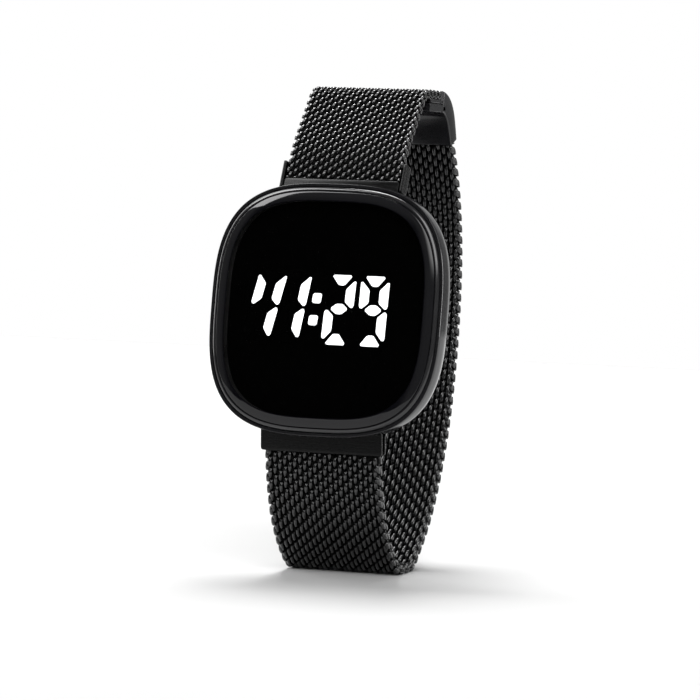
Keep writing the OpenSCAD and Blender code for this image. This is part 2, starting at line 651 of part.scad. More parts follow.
// The tang of the lip: from its depth in the tongue to the given reach
module lip_tang_bar(reach, width) across(width) translate(lap_start) rotate(lap_heading)
    translate([-lip_tang, -lip_tang_t / 2]) square([lip_tang + reach, lip_tang_t]);

// The tongue is as wide as the strap, and its two slots run out at the sides
module clasp_tongue() color([0.1, 0.1, 0.11]) difference() {
    across(mesh_w) polygon(concat(tongue_side(-tongue_out, -top_out),
        reversed(tongue_side(tongue_in, lip_t / 2))));
    across(mesh_w + 1) translate(lower_end[0]) rotate(lower_end[1])
        translate([-1, -0.45]) square([socket_depth + 1, 0.9]);
    lip_tang_bar(1, mesh_w + 1);
}

// The plate that carries the magnets under the end of the upper strap
module clasp_lip() color([0.1, 0.1, 0.11]) difference() {
    union() {
        across(mesh_w) translate(lap_start) rotate(lap_heading)
            translate([0, -lip_t / 2]) square([lip_len, lip_t]);
        lip_tang_bar(eps, mesh_w);
    }
    at_magnets() translate([0, 0, lip_t / 2 - magnet_h])
        cylinder(h = magnet_h + 1, d = magnet_d, $fn = round_fn);
}

magnet_pitch = 4.4;
module at_magnets() for (i = [-1.5:1.5])
    translate([i * magnet_pitch, face_y + lap_start[0], face_z + lap_start[1]])
        rotate([lap_heading - 180, 0, 0]) translate([0, -lip_len / 2 - 0.2, 0]) children();
module clasp_magnets() color([0.75, 0.75, 0.77]) at_magnets()
    translate([0, 0, lip_t / 2 - magnet_h]) cylinder(h = magnet_h, d = magnet_d, $fn = round_fn);

case_body();
bezel_ring();
lens();
lens_gasket();
display_mask();
light_frame();
lit_segments();
unlit_segments();
touch_pad();
led_board();
driver_chip();
quartz_can();
holder_frame();
contact_spring();
coin_cell();
cell_clip();
case_back();
back_gasket();
back_screws();
upper_bar_tube();
upper_bar_spring();
upper_tip_left();
upper_tip_right();
lower_bar_tube();
lower_bar_spring();
lower_tip_left();
lower_tip_right();
upper_clamp();
upper_mesh();
keeper_plate();
lower_clamp();
lower_mesh();
clasp_tongue();
clasp_lip();
clasp_magnets();
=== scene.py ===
"""Looks of a square LED wristwatch on a woven steel strap.

Shapes are worked out in millimetres. The profile plane holds Y (back) and Z (up); X runs across
the watch. A place on the case is given as x, v (up the face) and w (out of the face).
"""

import json
import math

import bmesh
import bpy
import numpy as np
from mathutils import Matrix, Vector


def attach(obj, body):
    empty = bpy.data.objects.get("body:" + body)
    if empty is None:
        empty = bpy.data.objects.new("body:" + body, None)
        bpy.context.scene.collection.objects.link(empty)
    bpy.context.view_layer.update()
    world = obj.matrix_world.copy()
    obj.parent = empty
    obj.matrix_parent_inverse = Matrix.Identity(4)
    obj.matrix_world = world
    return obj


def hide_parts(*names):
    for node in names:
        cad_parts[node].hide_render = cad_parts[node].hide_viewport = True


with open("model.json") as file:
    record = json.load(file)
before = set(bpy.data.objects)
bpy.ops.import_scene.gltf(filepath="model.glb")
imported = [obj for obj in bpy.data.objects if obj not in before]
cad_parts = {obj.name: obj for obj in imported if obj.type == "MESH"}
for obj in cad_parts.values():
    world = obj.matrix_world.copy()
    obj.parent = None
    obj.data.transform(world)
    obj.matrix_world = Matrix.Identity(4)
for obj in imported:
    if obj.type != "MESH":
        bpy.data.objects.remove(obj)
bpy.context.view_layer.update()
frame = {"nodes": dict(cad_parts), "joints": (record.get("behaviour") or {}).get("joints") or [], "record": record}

MM = 0.001
NODES = frame["nodes"]
JOINTS = {joint["name"]: joint for joint in frame["joints"]}

# Edges sharper than these stay crisp: on a new piece, and on a cut or softened one
CRISP, CRISP_CUT = math.radians(35), math.radians(30)
# A softened copy is merged within this angle, and bevelled past the other
FLAT_WITHIN, BEVEL_FROM = math.radians(1), math.radians(40)
BEVEL_SEGMENTS = 2

# The case stands on the line between its spring bars
UPPER_BAR = np.array(JOINTS["upper_strap_swing"]["pos_m"][1:]) / MM
LOWER_BAR = np.array(JOINTS["lower_strap_swing"]["pos_m"][1:]) / MM
BAR_DEPTH = 3.6
LEAN = math.atan2(*(UPPER_BAR - LOWER_BAR))
BAR_U = float(np.hypot(*(UPPER_BAR - LOWER_BAR))) / 2
FACE = (UPPER_BAR + LOWER_BAR) / 2 - BAR_DEPTH * np.array([math.cos(LEAN), -math.sin(LEAN)])

# Case, bezel and lens: half widths across X, half heights in v, heights in w and thicknesses
EDGE_SQUARENESS, DISPLAY_SQUARENESS = 3.05, 3.27
CASE_HALF = 19.42
CASE_DEPTH = 8.4
RIM_HALF = 18.92
RIM_W = -0.72
BEZEL_IN, BEZEL_OUT = 18.2, 18.85
BEZEL_FALL = 0.65
LENS_HALF = 18.12
LENS_T = 1.4
BORDER_W, BORDER_DROP, BORDER_SWELL = 1.45, 0.4, 0.04
SEAT_W = -1.6
FLANGE_W = -2.2
LEDGE_W = -7.4
CAVITY_HALF, CAVITY_V = 14.7, 13.8
OPENING_HALF, OPENING_V = 14.6, 12.6
REBATE = 0.8
RECESS_HALF = 10.7
RECESS_V = BAR_U - 1.6
# Cutters run this far past the case, in front of it and behind it, and into one another
PAST_FRONT, PAST_BACK, OVERLAP = 2.0, 1.0, 0.01
# Points round a squircle, steps from one drawn point of a section to the next, and points over
# the bezel's round
ROUND_COUNT, SECTION_STEPS, BEZEL_COUNT = 240, 4, 17
# A limit in v that cuts nothing off
UNCUT = 1e9

# Strap: half widths, thicknesses, reaches from the spring bars and heights above the line through
# them, and headings in degrees
MESH_HALF = 9.65
MESH_T = 1.4
CLAMP_HALF = 10.2
SHEET_T, SHEET_EDGE = 0.4, 0.07
LOOP_R = 1.01
LOWER_REACH, FRONT_REACH, CHEEK_REACH = 4.63, 3.1, 5.95
UPPER_HEADING, LOWER_HEADING = 65.5, -90.0
UPPER_MID, LOWER_MID = 0.51, 0.26
UPPER_BACK_LINE, LOWER_BACK_LINE = -0.39, -0.19
CHEEK_START, CHEEK_HALF, CHEEK_X = 1.3, 0.25, 10.15
CHEEK_LOW, CHEEK_HIGH = -0.59, 1.21
CORNER = 0.45
# The routes of the bands, each arc a length and a turn in degrees, for this distance of the bars
ARCS_BAR_U = 17.0
LOWER_ARCS = [(9.6, 18), (10, 27), (2, 45), (2.9, 0), (2, 45), (2.5, 0),
              (11.3, 17), (15.6, 14), (18, 10.5), (12.2, 14), (9.1, 12)]
UPPER_ARCS = [(2.8, 0), (4.5, -15.5), (7.4, 0), (3, -56), (4.3, 0)]
# How far the coils are pressed flat at the band's faces, and kept off its two ends
PRESSED, END_CLEAR = 0.05, 0.02
# Painted shade, a dark sheet in the weave's middle: how far inside its sides, and half its thickness
SHADE_SHEET_INSET, SHADE_SHEET_HALF_T = 0.35, 0.22

# Clasp
CAP_T, END_GAP, KEEPER_T, LAP_GAP, LIP_T = 0.4, 0.15, 0.6, 0.12, 1.2
TONGUE_PULL, TONGUE_PROUD, TONGUE_INSIDE = 2.6, 0.85, 0.05


# Meshes

def add(name, data):
    """A new object of the scene that shows this mesh, camera or light."""
    added = bpy.data.objects.new(name, data)
    bpy.context.scene.collection.objects.link(added)
    return added


def make_mesh(name, points, faces):
    """A mesh from points in millimetres and faces, turned so that its volume is positive."""
    places = np.asarray(points, float).reshape(-1, 3) * MM
    mesh = bpy.data.meshes.new(name)
    mesh.from_pydata(places.tolist(), [], [list(map(int, face)) for face in faces])
    mesh.update()
    face_outwards(mesh)
    return mesh


def make_piece(name, points, faces, body, slot, nodes=(), smooth=CRISP):
    """A piece that rides on a body, is finished as its slot says and stands for CAD nodes."""
    mesh = make_mesh(name, points, faces)
    shade(mesh, smooth)
    return settle(add(name, mesh), body, slot, nodes)


def settle(piece, body, slot, nodes):
    piece.data.materials.clear()
    piece.data.materials.append(FINISHES[slot])
    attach(piece, body)
    if nodes:
        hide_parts(*nodes)
    return piece


def face_outwards(mesh):
    """Turns all faces round where the volume, the sum of a . (b x c) / 6, is negative."""
    mesh.calc_loop_triangles()
    corners = np.empty(len(mesh.loop_triangles) * 3, int)
    mesh.loop_triangles.foreach_get("vertices", corners)
    places = np.empty(len(mesh.vertices) * 3)
    mesh.vertices.foreach_get("co", places)
    a, b, c = np.moveaxis(places.reshape(-1, 3)[corners.reshape(-1, 3)], 1, 0)
    if np.einsum("ij,ij->", a, np.cross(b, c)) < 0:
        mesh.flip_normals()


def shade(mesh, smooth):
    """Smooth shading, with the edges sharper than the given angle left crisp."""
    mesh.polygons.foreach_set("use_smooth", [True] * len(mesh.polygons))
    if smooth < math.pi:
        mesh.set_sharp_from_angle(angle=smooth)


def grid_faces(rows, columns, wrap_rows=False):
    """Quads between rings of points, ring after ring, as an array of four indices each.

    The quad at ring r and point c joins (r, c), (r, c + 1), (r + 1, c + 1) and (r + 1, c).
    """
    r = np.arange(rows if wrap_rows else rows - 1)
    r, c = np.meshgrid(r, np.arange(columns), indexing="ij")
    r2, c2 = (r + 1) % rows, (c + 1) % columns
    quads = np.stack([r * columns + c, r * columns + c2, r2 * columns + c2, r2 * columns + c], -1)
    return quads.reshape(-1, 4)


def tube_faces(rows, columns):
    """Grid of rings closed round, with a flat face on each end."""
    ends = [list(range(columns))[::-1], list(range((rows - 1) * columns, rows * columns))]
    return grid_faces(rows, columns).tolist() + ends


def on_face(x, v, w):
    """Case place to row frame: y = v sin(lean) - w cos(lean), z = v cos(lean) + w sin(lean)."""
    y = FACE[0] + v * math.sin(LEAN) - w * math.cos(LEAN)
    z = FACE[1] + v * math.cos(LEAN) + w * math.sin(LEAN)
    return np.stack(np.broadcast_arrays(x, y, z), -1)


def squircle(half, squareness):
    """Points of |x|^n + |v|^n = half^n, from x = cos^(2/n), v = sin^(2/n), signs kept."""
    t = (np.arange(ROUND_COUNT) + 0.5) / ROUND_COUNT * 2 * np.pi
    x = half * np.sign(np.cos(t)) * np.abs(np.cos(t)) ** (2 / squareness)
    v = half * np.sign(np.sin(t)) * np.abs(np.sin(t)) ** (2 / squareness)
    return x, v


def smooth_line(points, steps):
    """Catmull-Rom line through the points, with the given steps to each span."""
    p = np.asarray(points, float)
    p = np.vstack([2 * p[0] - p[1], p, 2 * p[-1] - p[-2]])
    t = (np.arange(steps) / steps)[None, :, None]
    a, b, c, d = (p[i:len(p) - 3 + i, None, :] for i in range(4))
    line = 0.5 * (2 * b + (c - a) * t + (2 * a - 5 * b + 4 * c - d) * t**2
                  + (3 * b - a - 3 * c + d) * t**3)
    return np.vstack([line.reshape(-1, p.shape[1]), p[-2:-1]])


def squircle_rings(rings, squareness=EDGE_SQUARENESS, limit_v=UNCUT):
    """Points of squircle rings, each a half width and a height w, cut flat past a height in v.

    The squareness is one number, or a column with one for each ring.
    """
    rings = np.asarray(rings, float)
    x, v = squircle(rings[:, :1], squareness)
    return on_face(x, np.clip(v, -limit_v, limit_v), rings[:, 1:2])


def prism(half, limit_v, low, high, squareness=DISPLAY_SQUARENESS):
    """A straight squircle plug between two heights."""
    points = squircle_rings([(half, low), (half, high)], squareness, limit_v)
    return points, tube_faces(2, points.shape[1])


def across(outline, half):
    """A prism along X over an outline of (v, w) places on the case."""
    outline = np.asarray(outline, float)
    points = np.stack([on_face(x, outline[:, 0], outline[:, 1]) for x in (-half, half)])
    return points, tube_faces(2, len(outline))


def cut(piece, cutters):
    """Takes the cutters, each points and faces, out of the piece one after another."""
    for points, faces in cutters:
        cutter = add("cutter", make_mesh("cutter", points, faces))
        step = piece.modifiers.new("cut", "BOOLEAN")
        step.operation, step.solver, step.object = "DIFFERENCE", "EXACT", cutter
        graph = bpy.context.evaluated_depsgraph_get()
        result = bpy.data.meshes.new_from_object(piece.evaluated_get(graph))
        piece.modifiers.clear()
        piece.data = result
        bpy.data.objects.remove(cutter)


def arc_path(start, heading, arcs, step=0.12):
    """Stations along arcs, each a length and a turn: distance, y, z and heading in degrees.

    On an arc of radius r the place is p + r (sin(h + turn) - sin h, cos h - cos(h + turn)).
    """
    parts, place, done = [], np.array(start, float), 0.0
    for length, turn in arcs:
        s = np.linspace(0, length, max(3, int(length / step)))
        h, t = math.radians(heading), math.radians(turn) * s / length
        if turn:
            r = length / math.radians(turn)
            shift = r * np.stack([np.sin(h + t) - np.sin(h), np.cos(h) - np.cos(h + t)], -1)
        else:
            shift = s[:, None] * np.array([math.cos(h), math.sin(h)])
        parts.append(np.column_stack([done + s, place + shift, heading + np.degrees(t)])[:-1])
        place, heading, done = place + shift[-1], heading + turn, done + length
    return np.vstack(parts + [[[done, *place, heading]]])


def path_place(path, s, off):
    """Y and Z at distance s and height off to the left of the path."""
    y, z, h = (np.interp(s, path[:, 0], path[:, k]) for k in (1, 2, 3))
    h = np.radians(h)
    # Past the ends the path runs on straight
    past = s - np.clip(s, path[0, 0], path[-1, 0])
    return y + past * np.cos(h) - off * np.sin(h), z + past * np.sin(h) + off * np.cos(h)


def strip(path, half, low, high, edge, count, middle=0.0):
    """A rounded-rectangle section carried along a path, with rounded ends.

    half, low and high are numbers or functions of the distance. The section draws in near each
    end by edge - sqrt(edge^2 - (edge - s)^2). A corner is edge (cos t, sin t) round its middle.
    """
    length = path[-1, 0]
    quarter = np.arange(4) / 3 * np.pi / 2
    near = edge * (1 - np.cos(quarter))
    s = np.concatenate([near, np.linspace(edge, length - edge, count)[1:-1],
                        (length - near)[::-1]])
    inset = np.concatenate([edge * (1 - np.sin(quarter)), np.zeros(count - 2),
                            edge * (1 - np.sin(quarter))[::-1]])

    def values(size):
        """The size at every station."""
        return np.array([size(d) for d in s]) if callable(size) else np.full(len(s), float(size))

    w, a, b = values(half) - inset, values(low) + inset, values(high) - inset
    turn = np.concatenate([quarter + k * np.pi / 2 for k in range(4)])
    corner = np.repeat(turn.reshape(4, 4).mean(1), 4)
    x = middle + np.sign(np.cos(corner)) * (w[:, None] - edge) + edge * np.cos(turn)
    off = ((a + b)[:, None] / 2 + np.sign(np.sin(corner)) * ((b - a)[:, None] / 2 - edge)
           + edge * np.sin(turn))
    y, z = path_place(path, np.broadcast_to(s[:, None], off.shape), off)
    return np.stack([x, y, z], -1), tube_faces(len(s), len(turn))


def softened(node, width, slot, body):
    """A merged copy of a CAD node with its corners bevelled."""
    shape = bmesh.new()
    shape.from_mesh(NODES[node].data)
    bmesh.ops.remove_doubles(shape, verts=shape.verts, dist=MM / 1000)
    bmesh.ops.dissolve_limit(shape, angle_limit=FLAT_WITHIN, verts=shape.verts, edges=shape.edges)
    mesh = bpy.data.meshes.new(node + "_finished")
    shape.to_mesh(mesh)
    shape.free()
    shade(mesh, CRISP_CUT)
    piece = add(node + "_finished", mesh)
    bevel = piece.modifiers.new("edges", "BEVEL")
    bevel.width, bevel.segments = width * MM, BEVEL_SEGMENTS
    bevel.limit_method, bevel.angle_limit = "ANGLE", BEVEL_FROM
    return settle(piece, body, slot, [node])


# Finishes

# The part of a noise's own range that is drawn out to 0 to 1
NOISE_LOW, NOISE_HIGH = 0.32, 0.68
# Size of a blemish against the colour's blots, the noise from which it shows and its full share
BLEMISH_SIZE, BLEMISH_FROM, BLEMISH_SHARE = 1.7, 0.6, 0.6
# The crown at which a place starts to take the crown's colour and gloss, and at which it has them;
# under the first it keeps the darker colour and has no gloss, which is painted shade
CROWN_FROM, CROWN_FULL = 0.5, 0.95


def noise_field(made, size, stretch=(1, 1, 1), detail=3.0, warp=0.0):
    """Noise over Object coordinates with blots of the given size in millimetres, as 0 to 1.

    The blots are drawn out along each axis by stretch, and twisted by warp.
    """
    nodes, links = made.node_tree.nodes, made.node_tree.links
    place = nodes.new("ShaderNodeTexCoord")
    turn = nodes.new("ShaderNodeMapping")
    turn.inputs["Scale"].default_value = [1 / along_axis for along_axis in stretch]
    noise = nodes.new("ShaderNodeTexNoise")
    noise.inputs["Scale"].default_value = 1 / (size * MM)
    noise.inputs["Detail"].default_value = detail
    noise.inputs["Distortion"].default_value = warp
    links.new(place.outputs["Object"], turn.inputs["Vector"])
    links.new(turn.outputs["Vector"], noise.inputs["Vector"])
    return spread(made, noise.outputs["Fac"], NOISE_LOW, NOISE_HIGH, 0.0, 1.0)


def spread(made, value, low, high, to_low, to_high):
    """A value moved from one range to another, and kept inside it."""
    node = made.node_tree.nodes.new("ShaderNodeMapRange")
    for name, number in (("From Min", low), ("From Max", high), ("To Min", to_low),
                         ("To Max", to_high)):
        node.inputs[name].default_value = number
    made.node_tree.links.new(value, node.inputs["Value"])
    return node.outputs["Result"]


def blend(made, factor, first, second):
    """A colour between two, each a tuple or another node's colour."""
    node = made.node_tree.nodes.new("ShaderNodeMix")
    node.data_type = "RGBA"
    made.node_tree.links.new(factor, node.inputs[0])
    for socket, colour in ((node.inputs[6], first), (node.inputs[7], second)):
        if isinstance(colour, tuple):
            socket.default_value = (*colour, 1)
        else:
            made.node_tree.links.new(colour, socket)
    return node.outputs[2]


def finish(name, colour, roughness, metallic=0.0, specular=0.5, size=2.0, stretch=(1, 1, 1),
           tone=0.15, gloss=0.2, relief=0.002, fine=0.3, blemish=None, crown_wear_and_shade=None, glow=0.0,
           alpha=1.0):
    """A finish from three fields of noise n, each 0 to 1.

    Colour is colour (1 + tone (2 n - 1)) in blots of the given size in millimetres, roughness is
    roughness (1 + gloss (2 n - 1)) in blots half again as large, and the surface stands relief n
    millimetres high in grains of the fine size. A blemish is a second colour in sparse blots. A
    crown is a lighter colour, for wear, on the places that stand out most, where the piece's own
    crown attribute is near 1; where it is under a half the surface keeps the darker colour and has
    no gloss, which is painted shade in the hollows.
    """
    made = bpy.data.materials.new(name)
    made.use_nodes = True
    nodes, links = made.node_tree.nodes, made.node_tree.links
    sockets = nodes["Principled BSDF"].inputs
    sockets["Metallic"].default_value = metallic
    sockets["Specular IOR Level"].default_value = specular
    sockets["Alpha"].default_value = alpha
    paint = blend(made, noise_field(made, size, stretch),
                  tuple(c * (1 - tone) for c in colour), tuple(c * (1 + tone) for c in colour))
    if blemish:
        spots = noise_field(made, size * BLEMISH_SIZE, stretch, detail=5.0, warp=0.6)
        share = spread(made, spots, BLEMISH_FROM, 1.0, 0.0, BLEMISH_SHARE)
        paint = blend(made, share, paint, blemish)
    # Painted shade: low places keep the darker colour and lose their gloss; the lighter crown colour is wear
    if crown_wear_and_shade:
        height = nodes.new("ShaderNodeAttribute")
        height.attribute_name = "crown_wear_and_shade"
        out_of_painted_shade = spread(made, height.outputs["Fac"], CROWN_FROM, CROWN_FULL, 0.0, 1.0)
        paint = blend(made, out_of_painted_shade, paint, crown_wear_and_shade)
        links.new(spread(made, out_of_painted_shade, 0.0, 1.0, 0.0, specular),
                  sockets["Specular IOR Level"])
    links.new(paint, sockets["Base Color"])
    matt = noise_field(made, size * 1.5, stretch, detail=4.0)
    links.new(spread(made, matt, 0.0, 1.0, roughness * (1 - gloss),
                     min(1, roughness * (1 + gloss))), sockets["Roughness"])
    if relief:
        bump = nodes.new("ShaderNodeBump")
        bump.inputs["Distance"].default_value = relief * MM
        links.new(noise_field(made, fine, stretch, detail=2.0), bump.inputs["Height"])
        links.new(bump.outputs["Normal"], sockets["Normal"])
    if glow:
        links.new(paint, sockets["Emission Color"])
        sockets["Emission Strength"].default_value = glow
    return made


# Blots drawn out along X, as brushing leaves them
BRUSHED = (12, 1, 1)
FINISHES = {
    "case_black": finish("case_black", (0.012, 0.012, 0.013), 0.12, size=4, relief=0.0006,
                         fine=0.7),
    "bezel_gloss": finish("bezel_gloss", (0.012, 0.012, 0.013), 0.09, specular=0.6, size=3,
                          relief=0.0004, fine=0.7),
    "lens_glass": finish("lens_glass", (0.003, 0.003, 0.004), 0.05, specular=0.38, size=6,
                         gloss=0.4, relief=0.0, tone=0.1),
    "gasket_rubber": finish("gasket_rubber", (0.01, 0.01, 0.01), 0.8, specular=0.1, relief=0.01),
    "mask_print": finish("mask_print", (0.0008, 0.0008, 0.0008), 0.95, specular=0.0, size=1,
                         relief=0.001, fine=0.1),
    "frame_plastic": finish("frame_plastic", (0.03, 0.03, 0.033), 0.5, relief=0.01, fine=0.15),
    "segment_lit": finish("segment_lit", (0.97, 0.98, 1.0), 0.9, specular=0.0, size=1.2, tone=0.02,
                          gloss=0.05, relief=0.0, glow=2.0),
    "segment_dark": finish("segment_dark", (0.0008, 0.0008, 0.0008), 0.95, specular=0.0,
                           relief=0.001),
    "touch_rubber": finish("touch_rubber", (0.05, 0.05, 0.052), 0.7, relief=0.008, fine=0.12,
                           blemish=(0.08, 0.08, 0.08)),
    "board_laminate": finish("board_laminate", (0.01, 0.08, 0.03), 0.4, size=0.5,
                             stretch=(3, 1, 3), relief=0.006, fine=0.25,
                             blemish=(0.03, 0.13, 0.05)),
    "chip_epoxy": finish("chip_epoxy", (0.02, 0.02, 0.02), 0.5, size=0.5, relief=0.006, fine=0.08),
    "can_metal": finish("can_metal", (0.6, 0.6, 0.62), 0.3, 1.0, stretch=(1, 1, 8), size=0.4,
                        relief=0.001, fine=0.1),
    "contact_brass": finish("contact_brass", (0.75, 0.55, 0.25), 0.3, 1.0, stretch=BRUSHED,
                            size=0.4, relief=0.002, fine=0.1, blemish=(0.4, 0.22, 0.1)),
    "cell_steel": finish("cell_steel", (0.6, 0.6, 0.61), 0.25, 1.0, stretch=BRUSHED, size=0.3,
                         relief=0.002, fine=0.08, blemish=(0.42, 0.41, 0.4)),
    "back_steel": finish("back_steel", (0.4, 0.4, 0.41), 0.3, 1.0, stretch=BRUSHED, size=0.25,
                         relief=0.002, fine=0.06, blemish=(0.28, 0.28, 0.29)),
    "bar_steel": finish("bar_steel", (0.5, 0.5, 0.52), 0.3, 1.0, size=0.4, relief=0.002, fine=0.1,
                        blemish=(0.3, 0.29, 0.28)),
    "clamp_black": finish("clamp_black", (0.001, 0.001, 0.0011), 0.28, specular=0.17,
                          stretch=BRUSHED, size=0.2, relief=0.002, fine=0.06),
    # The weave: lighter crowns as wear, and darker gaps with no gloss as painted shade
    "mesh_black": finish("mesh_black", (0.001, 0.001, 0.0011), 0.12, specular=0.8, size=0.7,
                         tone=0.3, relief=0.002, fine=0.15, crown_wear_and_shade=(0.005, 0.005, 0.0053)),
    "clasp_black": finish("clasp_black", (0.008, 0.008, 0.009), 0.18, stretch=BRUSHED, size=0.3,
                          relief=0.001, fine=0.08),
    "magnet_nickel": finish("magnet_nickel", (0.6, 0.6, 0.62), 0.2, 1.0, size=0.6, relief=0.001,
                            fine=0.1, blemish=(0.45, 0.44, 0.42)),
}
LENS_CLEAR = finish("lens_clear", (0.001, 0.001, 0.001), 0.04, specular=0.1, size=8, gloss=0.3,
                    relief=0.0, alpha=0.15)
MESH_SHADOW = finish("mesh_shadow", (0.003, 0.003, 0.003), 0.9, specular=0.1, relief=0.004)

for part in frame["record"]["subparts"]:
    node = NODES[part["node"]]
    node.data.materials.clear()
    node.data.materials.append(FINISHES[part["material_slot"]])


# Case and lens

# The side of the case from its back to its rim, as half widths and heights
case_profile = smooth_line([
    (CASE_HALF - 3.0, -CASE_DEPTH), (CASE_HALF - 2.2, -7.75), (CASE_HALF - 1.49, -6.6),
    (CASE_HALF - 0.88, -5.3), (CASE_HALF - 0.35, -4.1), (CASE_HALF - 0.08, -3.1),
    (CASE_HALF, -2.3), (CASE_HALF, -1.4), (CASE_HALF - 0.05, RIM_W - 0.12),
    (CASE_HALF - 0.14, RIM_W), (RIM_HALF, RIM_W - 0.04)], SECTION_STEPS)
case_profile[:, 0] = np.minimum(case_profile[:, 0], CASE_HALF)
case_points = squircle_rings(case_profile)
case = make_piece("case_shell", case_points, tube_faces(*case_points.shape[:2]), "case",
                  "case_black", ["case_body"])
behind = -CASE_DEPTH - PAST_BACK
# The recess behind a spring bar, open to the back and to the end of the case
recess = [(RECESS_V, FLANGE_W), (BAR_U + 0.3, FLANGE_W), (CASE_HALF + 0.6, FLANGE_W + 0.45),
          (CASE_HALF + 0.6, behind), (RECESS_V, behind)]
cut(case, [
    prism(RIM_HALF, UNCUT, SEAT_W, PAST_FRONT, EDGE_SQUARENESS),
    prism(OPENING_HALF, OPENING_V, FLANGE_W - OVERLAP, SEAT_W + OVERLAP),
    prism(CAVITY_HALF, CAVITY_V, behind, FLANGE_W),
    prism(CAVITY_HALF + REBATE, CAVITY_V + REBATE, behind, LEDGE_W),
    across(recess, RECESS_HALF),
    across([(-v, w) for v, w in recess], RECESS_HALF),
])
shade(case.data, CRISP_CUT)

# The bezel: a quarter of an ellipse that falls outwards, (cos t, sin t) from its inner edge
shoulder = np.linspace(np.pi / 2, 0, BEZEL_COUNT)
bezel_section = np.vstack([
    [(BEZEL_IN, SEAT_W)],
    np.stack([BEZEL_IN + (BEZEL_OUT - BEZEL_IN) * np.cos(shoulder),
              BEZEL_FALL * (np.sin(shoulder) - 1) - BORDER_DROP], -1),
    [(BEZEL_OUT, SEAT_W)]])
bezel_points = squircle_rings(bezel_section)
make_piece("bezel_band", bezel_points, grid_faces(*bezel_points.shape[:2], wrap_rows=True),
           "case", "bezel_gloss", ["bezel_ring"])

# The lens: a straight side, a sloped border that swells a little and a flat top. The outline goes
# from the case's squareness at its side to the display's at the inner line of its border.
lens_rings = np.vstack([
    [(LENS_HALF, -LENS_T), (LENS_HALF, -BORDER_DROP - 0.1)],
    smooth_line([(LENS_HALF - 0.02, -BORDER_DROP - 0.03), (LENS_HALF - 0.1, -BORDER_DROP + 0.05),
                 (LENS_HALF - BORDER_W / 2, -BORDER_DROP / 2 + BORDER_SWELL),
                 (LENS_HALF - BORDER_W + 0.12, -0.024), (LENS_HALF - BORDER_W, -0.005),
                 (LENS_HALF - BORDER_W - 0.08, 0.0)], SECTION_STEPS)])
inward = np.clip((LENS_HALF - lens_rings[:, :1]) / BORDER_W, 0, 1)
lens_points = squircle_rings(
    lens_rings, EDGE_SQUARENESS + (DISPLAY_SQUARENESS - EDGE_SQUARENESS) * inward)
lens = make_piece("lens_crystal", lens_points, tube_faces(*lens_points.shape[:2]), "case",
                  "lens_glass", ["lens"])
# The last two faces are the flat ones, which the display shows through
lens.data.materials.append(LENS_CLEAR)
is_flat = np.zeros(len(lens.data.polygons), int)
is_flat[-2:] = 1
lens.data.polygons.foreach_set("material_index", is_flat)

softened("lit_segments", 0.1, "segment_lit", "case")
softened("case_back", 0.1, "back_steel", "case")
softened("back_screws", 0.05, "back_steel", "case")


# Strap

def along(heading):
    """The unit step (cos h, sin h) in the profile plane."""
    return np.array([math.cos(math.radians(heading)), math.sin(math.radians(heading))])


def left_of(heading):
    """The unit step (-sin h, cos h), a quarter turn to the left of the heading."""
    return np.array([-math.sin(math.radians(heading)), math.cos(math.radians(heading))])


def stretched(arcs):
    """Arcs with their lengths set to this distance of the spring bars from the centre."""
    return [(length * BAR_U / ARCS_BAR_U, turn) for length, turn in arcs]


lower_path = arc_path(LOWER_BAR + LOWER_REACH * along(LOWER_HEADING)
                      - LOWER_MID * left_of(LOWER_HEADING), LOWER_HEADING, stretched(LOWER_ARCS))
upper_path = arc_path(UPPER_BAR + (FRONT_REACH + 0.05) * along(UPPER_HEADING)
                      + UPPER_MID * left_of(UPPER_HEADING), UPPER_HEADING, stretched(UPPER_ARCS))


